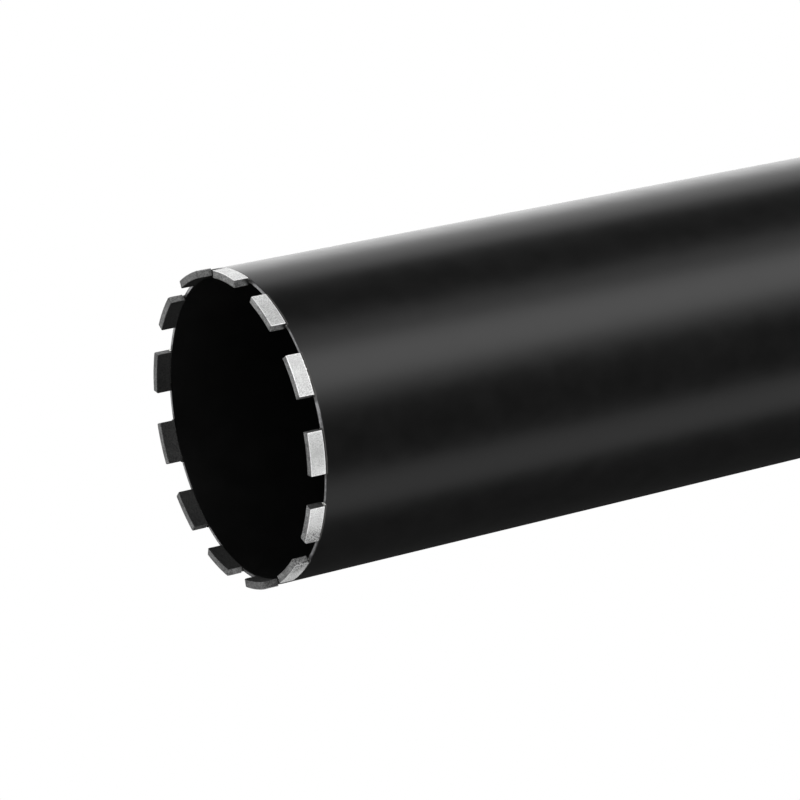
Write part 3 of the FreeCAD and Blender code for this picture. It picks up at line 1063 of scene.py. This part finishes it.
@dataclass
class Barrel:
    """The drawn tube, painted black up to a bare ground rim."""

    inner: float = BARREL_BORE
    outer: float = BARREL_RADIUS
    rim: float = RIM
    top: float = CROWN
    rim_bevel: float = 0.3 * MM
    weld_bevel: float = 1.8 * MM
    columns: int = 936
    run_spacing: float = 30.0 * MM
    bare_height: float = -0.02 * MM
    chafed_height: float = 0.55 * MM
    scorched_height: float = 0.80 * MM
    scorched_half_length: float = 12.9 * MM
    scorch_fade: float = 0.7 * MM
    scorch_lip: float = 0.15 * MM
    # how far past a segment's second end the rim's steel is darker, and how much
    darkened_half_length: float = 16.4 * MM
    darkening_fade: float = 1.2 * MM
    darkened_share: float = 0.8
    wave_size: float = 3.5 * MM
    paint_fade: float = 0.20 * MM
    paint_creep: float = 0.25 * MM
    bore_lip: float = 0.25 * MM
    clean_gaps: tuple[int, ...] = (11, 13)
    painted_gaps: tuple[int, ...] = (10,)
    chafed_gaps: tuple[int, ...] = (13,)

    def skin(self) -> Skin:
        """The tube's closed outline turned round the axis, with more rings of points near the rim.

        Returns:
            The surface in place, with masks for bare and for scorched steel.
        """
        corners = [
            Corner(self.inner, self.rim, 0.12 * MM),
            Corner(self.inner + 0.3 * MM, self.rim),
            Corner(self.inner + 0.6 * MM, self.rim),
            Corner(self.outer - 0.55 * MM, self.rim),
            Corner(self.outer - self.rim_bevel, self.rim, 0.08 * MM),
            Corner(self.outer, self.rim + self.rim_bevel, 0.08 * MM),
            *(Corner(self.outer, self.rim + up * MM) for up in (0.6, 0.9, 1.2, 2.4)),
            Corner(self.outer, self.top - self.weld_bevel, 0.10 * MM),
            Corner(self.outer - self.weld_bevel, self.top, 0.10 * MM),
            Corner(self.inner, self.top, 0.10 * MM),
            Corner(self.inner, self.rim + 2.4 * MM),
        ]
        skin = turned(outline(corners, self.run_spacing), self.columns)
        skin.masks = self.rim_masks(skin.points)
        return skin

    def rim_masks(self, points: np.ndarray) -> dict[str, np.ndarray]:
        """Where the rim's paint is gone, and where its steel is scorched.

        The paint's edge is a wavy line over the rim. It runs close to the rim in the gaps, and higher behind
        each segment, where the heat of the brazing took the paint off and scorched the steel. For a little
        way past each segment's second end the steel is darker too. From the bore, paint has crept over the
        rim's inner edge, but in two of the gaps. One gap is painted all over, and in one the paint is chafed
        off the outer edge too.

        Args:
            points: the tube's points.

        Returns:
            The masks bare and scorched, from 0 to 1 for each point.
        """
        radius, angle = polar(points)
        over_rim = points[:, 2] - self.rim
        outside = radius > (self.inner + self.outer) / 2.0
        from_station = ((angle / STATION_STEP + 0.5) % 1.0 - 0.5) * STATION_STEP * radius
        behind = part_of(self.scorched_half_length - np.abs(from_station), self.scorch_fade)
        # the steel is darker for a little way past each segment's second end
        darkened = part_of(self.darkened_half_length - from_station, self.darkening_fade) * (from_station > 0.0)
        gap = np.floor(angle % FULL_TURN / STATION_STEP) + 1.0
        low = np.where(np.isin(gap, self.chafed_gaps), self.chafed_height, self.bare_height)
        wave = 1.0 + 0.25 * smooth_noise(points, self.wave_size, 5, 2)
        edge = np.where(outside, (low + behind * (self.scorched_height - low)) * wave, -self.bore_lip)
        creep = np.where(np.isin(gap, self.clean_gaps), -self.paint_creep, self.paint_creep)
        creeping = np.where(outside, 0.0, np.maximum(radius - self.inner - creep, 0.0))
        bare = np.clip((edge + creeping - over_rim) / self.paint_fade + 0.5, 0.0, 1.0)
        painted = np.isin(gap, self.painted_gaps) & (behind == 0.0)
        scorched = behind * np.clip(over_rim / self.scorch_lip + outside, 0.0, 1.0)
        return {
            "bare": np.where(painted, 0.0, bare),
            "scorched": np.maximum(scorched, self.darkened_share * darkened),
        }

    def build(self) -> None:
        """Makes the painted tube."""
        paint = SatinPaint(Undercoat.DRAWN_TUBE).material()
        self.skin().piece("painted_barrel", "barrel_tube", "barrel_paint", paint)


@dataclass
class Crown:
    """The plate that closes the barrel, and the weld round it, ground flush and painted."""

    flange_low: float = CROWN
    top: float = PLATE_TOP
    spigot_low: float = CROWN - 4.0 * MM
    radius: float = BARREL_RADIUS
    spigot: float = BARREL_BORE - 0.1 * MM
    hole: float = 19.1 * MM
    top_bevel: float = 1.5 * MM
    weld_bevel: float = 1.8 * MM
    step: float = 62.0 * MM
    dish: float = 0.25 * MM
    columns: int = 300
    ripples: float = 190.0
    ripple_drift: float = 9.0 * MM
    grinding_size: float = 6.0 * MM

    def plate(self) -> Skin:
        """The plate's closed outline turned round the axis, with a shallow turned step on its top face.

        Returns:
            The surface in place.
        """
        corners = [
            Corner(self.hole, self.spigot_low, 0.3 * MM),
            Corner(self.spigot, self.spigot_low, 0.3 * MM),
            Corner(self.spigot, self.flange_low, 0.1 * MM),
            Corner(self.radius - self.weld_bevel, self.flange_low, 0.1 * MM),
            Corner(self.radius, self.flange_low + self.weld_bevel, 0.1 * MM),
            Corner(self.radius, self.top - self.top_bevel, 0.25 * MM),
            Corner(self.radius - self.top_bevel, self.top, 0.25 * MM),
            Corner(self.step, self.top, 0.2 * MM),
            Corner(self.step - self.dish, self.top - self.dish, 0.2 * MM),
            Corner(self.hole, self.top - self.dish, 0.1 * MM),
        ]
        return turned(outline(corners, 2.5 * MM), self.columns)

    def weld(self) -> Skin:
        """The weld's triangular outline turned round the axis, its outer face sunk by grinding waves.

        Returns:
            The surface in place.
        """
        depth, middle = self.weld_bevel, self.flange_low
        corners = [
            Corner(self.radius - depth, middle, 0.1 * MM),
            Corner(self.radius, middle - depth, 0.15 * MM),
            Corner(self.radius, middle + depth, 0.15 * MM),
        ]
        skin = turned(outline(corners, 0.4 * MM), 2 * self.columns)
        radius, angle = polar(skin.points)
        grinding = 0.5 + 0.5 * smooth_noise(skin.points, self.grinding_size, 61, 3)
        phase = angle * self.ripples + 2.0 * smooth_noise(skin.points, self.ripple_drift, 62)
        outer_share = part_of(radius - (self.radius - depth), depth) ** 2
        sunk = outer_share * (0.10 * grinding + 0.07 * (0.5 + 0.5 * np.sin(phase))) * MM
        skin.points = with_radius(skin.points, radius - sunk)
        return skin

    def build(self) -> None:
        """Makes the plate and its weld."""
        plate_paint = SatinPaint(Undercoat.TURNED_DISC, roughness=0.36).material()
        self.plate().piece("painted_crown_plate", "crown_plate", "crown_paint", plate_paint)
        weld_paint = SatinPaint(Undercoat.WELD_BEAD, roughness=0.38).material()
        self.weld().piece("crown_weld_bead", "crown_weld", "weld_paint", weld_paint)


# The hub

@dataclass
class Hub:
    """The hub: a turned body with wrench flats, a female thread, a relief groove and a water bore."""

    neck: float = 19.0 * MM
    body: float = 24.0 * MM
    neck_low: float = CROWN - 4.0 * MM
    shoulder: float = PLATE_TOP
    top: float = PLATE_TOP + 42.0 * MM
    bevel: float = 1.5 * MM
    flat_half: float = 20.5 * MM
    flat_low: float = PLATE_TOP + 22.0 * MM
    flat_run_out: float = 0.2 * MM
    minor: float = 14.0 * MM
    major: float = 15.9 * MM
    pitch: float = 25.4 / 7.0 * MM
    pitch_rows: int = 18
    crest: float = 0.25
    root: float = 0.125
    lead_in: float = 16.0 * MM
    thread_low: float = PLATE_TOP + 9.0 * MM
    relief: float = 16.3 * MM
    relief_low: float = PLATE_TOP + 5.0 * MM
    water: float = 10.0 * MM
    columns: int = 256
    weld_leg: float = 5.0 * MM
    weld_columns: int = 640
    weld_drops: float = 66.0
    drop_drift: float = 11.0 * MM
    lump_size: float = 3.0 * MM
    edge_fade: float = 0.5 * MM
    face_fade: float = 0.3 * MM

    def outside(self) -> np.ndarray:
        """The outline from the water bore, under the neck and up the outside to the lead-in.

        Returns:
            One row of radius and height for each point, without the run that the thread takes.
        """
        corners = [
            Corner(self.water, self.relief_low, 0.2 * MM),
            Corner(self.water, self.neck_low, 0.4 * MM),
            Corner(self.neck, self.neck_low, 0.4 * MM),
            Corner(self.neck, self.shoulder, 0.1 * MM),
            Corner(self.body, self.shoulder, 0.1 * MM),
            Corner(self.body, self.flat_low - 0.3 * MM),
            Corner(self.body, self.flat_low + 0.3 * MM),
            Corner(self.body, self.top - self.bevel, 0.2 * MM),
            Corner(self.body - self.bevel, self.top, 0.2 * MM),
            Corner(self.lead_in, self.top, 0.15 * MM),
            Corner(self.minor, self.top - (self.lead_in - self.minor)),
            Corner(self.minor, self.thread_low),
            Corner(self.relief, self.thread_low, 0.1 * MM),
            Corner(self.relief, self.relief_low, 0.3 * MM),
        ]
        profile = outline(corners, 0.7 * MM)
        near = 1.0e-6
        on_thread = (np.abs(profile[:, 0] - self.minor) < near) & (profile[:, 1] > self.thread_low - near)
        start, length = int(np.argmax(on_thread)), int(np.count_nonzero(on_thread))
        return np.roll(profile, -(start + length), axis=0)[: len(profile) - length]

    def thread(self) -> Skin:
        """The female thread between the lead-in and the relief groove.

        The rows climb with the angle by one pitch a turn and are held between the two ends, so each row
        follows the helix. The radius is a trapezium wave of the height less the climb, flat at crest and root
        with straight flanks between, and shallower at the lead-in cone.

        Returns:
            The strip of surface, from the lead-in down to the groove.
        """
        high = self.top - (self.lead_in - self.minor)
        rows = (int(math.ceil((high - self.thread_low) / self.pitch)) + 2) * self.pitch_rows
        base = high + self.pitch - np.arange(rows + 1) * self.pitch / self.pitch_rows
        angle = even_angles(self.columns)
        climb = self.pitch * angle / FULL_TURN
        height = np.clip(base[:, None] - climb, self.thread_low, self.top)
        from_crest = np.abs(((height + climb) / self.pitch) % 1.0 - 0.5)
        flank = 0.5 - self.crest / 2.0 - self.root / 2.0
        wave = part_of(from_crest - self.crest / 2.0, flank)
        cone = self.minor + np.maximum(height - high, 0.0)
        radius = np.maximum(self.minor + (self.major - self.minor) * wave, cone)
        faces = grid_faces(rows + 1, self.columns, wrap_columns=True, climb=self.pitch_rows)
        return Skin(round_axis(radius, angle, height), faces)

    def flattened(self, points: np.ndarray) -> np.ndarray:
        """Planes the wrench flats: above their foot, y is held to their half width, eased over a small step.

        Args:
            points: the hub's points.

        Returns:
            The points with the flats cut.
        """
        rise = np.clip((points[:, 2] - self.flat_low) / self.flat_run_out + 0.5, 0.0, 1.0)
        radius, _ = polar(points)
        cut = np.where(radius > self.lead_in + 1.0 * MM, rise, 0.0)
        held = np.clip(points[:, 1], -self.flat_half, self.flat_half)
        return np.column_stack([points[:, 0], points[:, 1] + cut * (held - points[:, 1]), points[:, 2]])

    def skin(self) -> Skin:
        """The whole hub as one surface: the outline turned, the thread let into it, and the flats planed.

        Returns:
            The surface in place, with masks for its edges and its end face.
        """
        profile, strip = self.outside(), self.thread()
        body = self.flattened(turned(profile, self.columns).points)
        faces = grid_faces(len(profile), self.columns, wrap_columns=True)
        column = np.arange(self.columns)
        beside = (column + 1) % self.columns
        offset = len(body)
        body_last, strip_last = offset - self.columns, offset + len(strip.points) - self.columns
        into = np.stack([body_last + column, body_last + beside, offset + beside, offset + column], axis=1)
        out = np.stack([strip_last + column, strip_last + beside, beside, column], axis=1)
        whole = Skin(np.vstack([body, strip.points]), np.vstack([faces, offset + strip.faces, into, out]))
        whole = whole.welded()
        whole.masks["edge"] = self.edge_mask(whole.points)
        # the faced mask marks the end face, which gets painted shade
        whole.masks["faced"] = np.clip((whole.points[:, 2] - self.top) / self.face_fade + 1.0, 0.0, 1.0)
        return whole

    def edge_mask(self, points: np.ndarray) -> np.ndarray:
        """Finds the bevels, the thread's mouth and the sides of the flats, fading away from them.

        Args:
            points: the hub's points.

        Returns:
            A number from 0 to 1 for each point.
        """
        radius, _ = polar(points)
        rim = np.hypot(radius - (self.body - self.bevel), points[:, 2] - self.top)
        mouth = np.hypot(radius - self.lead_in, points[:, 2] - self.top)
        side = np.hypot(radius - self.body, np.abs(points[:, 1]) - self.flat_half)
        nearest = np.minimum(rim, mouth)
        nearest = np.where(points[:, 2] > self.flat_low, np.minimum(nearest, side), nearest)
        return np.exp(-((nearest / self.edge_fade) ** 2))

    def weld(self) -> Skin:
        """The fillet weld round the hub's foot, with a ripple for each drop of the bead.

        The outline is the fillet's triangle with a slightly full face. Its face sinks by a saw wave of the
        angle, bent back towards the foot, so that the ripples overlap like laid coins.

        Returns:
            The surface in place.
        """
        leg, low, inner = self.weld_leg, self.shoulder, self.body
        corners = [
            Corner(inner, low, 0.1 * MM),
            Corner(inner + leg, low, 0.35 * MM),
            Corner(inner + 0.56 * leg, low + 0.56 * leg, 1.2 * MM),
            Corner(inner, low + leg, 0.35 * MM),
        ]
        skin = turned(outline(corners, 0.25 * MM, 5), self.weld_columns)
        radius, angle = polar(skin.points)
        from_root = np.hypot(radius - inner, skin.points[:, 2] - low) / leg
        lean = 0.10 * np.sin(np.pi * part_of(skin.points[:, 2] - low, leg))
        drift = 0.05 * smooth_noise(skin.points, self.drop_drift, 77)
        drop = ((angle + lean + drift) / FULL_TURN * self.weld_drops) % 1.0
        lumps = 0.5 + 0.5 * smooth_noise(skin.points, self.lump_size, 78, 2)
        sunk = part_of(from_root - 0.25, 0.35) * (0.50 * (1.0 - drop) ** 2 + 0.16 * lumps) * MM
        skin.points = skin.points - sunk[:, None] * skin.normals()
        skin.points[:, 2] = np.maximum(skin.points[:, 2], low)
        radius, _ = polar(skin.points)
        skin.points = with_radius(skin.points, np.maximum(radius, inner))
        return skin

    def build(self) -> None:
        """Makes the hub and its weld."""
        self.skin().piece("turned_hub", "threaded_hub", "hub_steel", TurnedSteel().material())
        weld_paint = SatinPaint(Undercoat.WELD_BEAD, roughness=0.34).material()
        self.weld().piece("hub_weld_bead", "hub_weld", "weld_paint", weld_paint)


# The studio

def sheet(
    name: str,
    points: np.ndarray,
    faces: list[list[int]],
    material: bpy.types.Material,
    unseen_by: tuple[str, ...],
) -> bpy.types.Object:
    """Makes a sheet of the studio that some kinds of light pass.

    Args:
        name: the object's name.
        points: its points.
        faces: its faces.
        material: its finish.
        unseen_by: the kinds of ray that pass it.

    Returns:
        The object.
    """
    mesh = bpy.data.meshes.new(name)
    mesh.from_pydata(points.tolist(), [], faces)
    mesh.materials.append(material)
    made = place(name, mesh)
    for ray in unseen_by:
        setattr(made, f"visible_{ray}", False)
    return made


@dataclass(frozen=True)
class SoftBox:
    """A soft lamp that faces the middle of the bit: its place, its width and height, and its radiance."""

    name: str
    bearing: float
    elevation: float
    distance: float
    width: float
    height: float
    radiance: float
    aim: Triple = (0.0, 0.0, 0.25)

    def hang(self) -> None:
        """Places the lamp, with its power worked out from its area so that its face has the radiance."""
        lamp = bpy.data.lights.new(self.name, "AREA")
        lamp.shape = "RECTANGLE"
        lamp.size, lamp.size_y = self.width, self.height
        lamp.energy = math.pi * self.width * self.height * self.radiance
        bearing, elevation = math.radians(self.bearing), math.radians(self.elevation)
        level = Vector((math.cos(bearing), math.sin(bearing), 0.0))
        out = math.cos(elevation) * level + math.sin(elevation) * Vector((0.0, 0.0, 1.0))
        right = Vector((-level.y, level.x, 0.0))
        place(self.name, lamp, (right, out.cross(right), out), Vector(self.aim) + self.distance * out)
        log.info("lamp %s at %.0f degrees", self.name, self.bearing)


@dataclass(frozen=True)
class Curtain:
    """A black cloth between two bearings, which only gloss sees, so that dark gaps part the soft boxes."""

    name: str
    start: float
    end: float
    radius: float = 2.1
    foot: float = -3.4
    head: float = 3.9
    shade: float = 0.035
    columns: int = 25

    def hang(self) -> None:
        """Makes the cloth as a strip of a cylinder round the axis and hides it from all but glossy rays."""
        angle = np.radians(np.linspace(self.start, self.end, self.columns))[:, None]
        points = round_axis(np.array([[self.radius]]), angle, np.array([self.foot, self.head]))
        cloth = Tree(f"{self.name}_cloth")
        weave = cloth.bump(cloth.noise(0.01), 0.001)
        material = cloth.surface((self.shade, self.shade, self.shade, 1.0), 0.0, 1.0, weave, 0.0)
        faces = grid_faces(self.columns, 2).tolist()
        made = sheet(self.name, points, faces, material, ("camera", "diffuse", "shadow", "transmission"))


@dataclass
class Studio:
    """The floor, the soft boxes and curtains round the bit, the white surroundings and the camera.

    The camera's place, its right and its down were found from the rim's ellipse in the photograph.
    """

    floor_rings: tuple[float, ...] = (0.02, 0.3, 0.8, 1.6, 3.0, 6.0, 9.0)
    floor_columns: int = 96
    floor_drop: float = 0.3 * MM
    floor_colour: Triple = (0.80, 0.80, 0.80)
    ambient: float = 0.80
    boxes: tuple[SoftBox, ...] = (
        SoftBox("key_box", -41.5, 0.0, 1.5, 0.76, 4.3, 2.1),
        SoftBox("edge_box", -171.5, 0.0, 1.7, 1.40, 3.6, 1.0),
        SoftBox("low_fill_box", 75.0, -22.0, 1.8, 1.2, 0.9, 2.1),
        SoftBox("low_edge_box", -150.0, -20.0, 1.8, 1.0, 0.8, 1.0),
        SoftBox("top_box", -35.5, 90.0, 2.9, 2.4, 2.4, 1.2),
    )
    curtains: tuple[Curtain, ...] = (
        Curtain("curtain_between_key_and_fill", -16.0, 35.0),
        Curtain("curtain_after_fill", 64.0, 162.0),
        Curtain("curtain_before_key", -122.0, -75.0),
    )
    eye: Triple = (1.716691, -0.434280, -0.882002)
    right: Triple = (0.5155346, 0.0876620, 0.8523728)
    down: Triple = (0.1409696, 0.9725219, -0.1852803)
    lens: float = 159.34

    def lay_floor(self) -> None:
        """A pale round floor under the segments, which fades to white far away.

        Only the camera sees it, and through its back it is open, so a camera under the floor sees the cutting
        faces. It takes the bit's shadow like any floor, and light and gloss from below pass it.
        """
        rings, columns = np.array(self.floor_rings)[:, None], self.floor_columns
        points = round_axis(rings, even_angles(columns), -self.floor_drop)
        faces = grid_faces(len(rings), columns, wrap_columns=True)[:, ::-1].tolist() + [list(range(columns))]
        tree = Tree("pale_floor")
        tint = tree.fit(tree.noise(0.15, detail=3.0), 0.3, 0.7)
        colour = tree.blend(tint, self.floor_colour, shaded(self.floor_colour, 0.98))
        tree.surface(colour, 0.0, 0.85, tree.bump(tree.noise(0.004), 0.0001), 0.2)
        far = tree.node("ShaderNodeVectorMath", operation="LENGTH")
        tree.join(tree.place, far.inputs[0])
        fading = tree.mixed(tree.fit(far.outputs["Value"], 0.35, 1.25), tree.shader, "ShaderNodeEmission")
        back = tree.node("ShaderNodeNewGeometry").outputs["Backfacing"]
        one_sided = tree.mixed(back, fading, "ShaderNodeBsdfTransparent")
        tree.join(one_sided.outputs[0], tree.output.inputs["Surface"])
        unseen_by = ("diffuse", "glossy", "shadow", "transmission")
        floor = sheet("studio_floor", points, faces, tree.material, unseen_by)

    def light_surroundings(self) -> None:
        """White surroundings for what is seen directly or mirrored, and a dimmer even light for the rest."""
        world = bpy.data.worlds.new("white_surroundings")
        bpy.context.scene.world = world
        world.use_nodes = True
        nodes = Nodes(world.node_tree)
        background = world.node_tree.nodes["Background"]
        background.inputs["Color"].default_value = (1.0, 1.0, 1.0, 1.0)
        path = nodes.node("ShaderNodeLightPath").outputs
        seen = nodes.maths("MAXIMUM", path["Is Camera Ray"], path["Is Glossy Ray"])
        seen = nodes.maths("MAXIMUM", seen, path["Is Transmission Ray"])
        strength = nodes.maths("MULTIPLY_ADD", seen, 1.0 - self.ambient, self.ambient)
        nodes.join(strength, background.inputs["Strength"])

    def place_camera(self) -> None:
        """A camera at the photograph's place and angle, with a 36 mm sensor."""
        scene = bpy.context.scene
        camera = bpy.data.cameras.new("photograph_view")
        camera.sensor_width = 36.0
        camera.lens = self.lens
        camera.clip_start, camera.clip_end = 0.05, 60.0
        right, up = Vector(self.right), -Vector(self.down)
        scene.camera = place("photograph_view", camera, (right, up, right.cross(up)), self.eye)
        scene.view_settings.view_transform = "Standard"

    def build(self) -> None:
        """Sets up the whole studio."""
        self.place_camera()
        self.light_surroundings()
        self.lay_floor()
        for hung in (*self.boxes, *self.curtains):
            hung.hang()


def main() -> None:
    """Builds the studio and then each part of the bit, from the cutting end to the hub."""
    logging.basicConfig(level=logging.INFO, format="%(name)s: %(message)s")
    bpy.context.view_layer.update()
    for part in (Studio(), SegmentRing(), Barrel(), Crown(), Hub()):
        part.build()
        log.info("%s is in place", type(part).__name__)


if __name__ == "__main__":
    main()
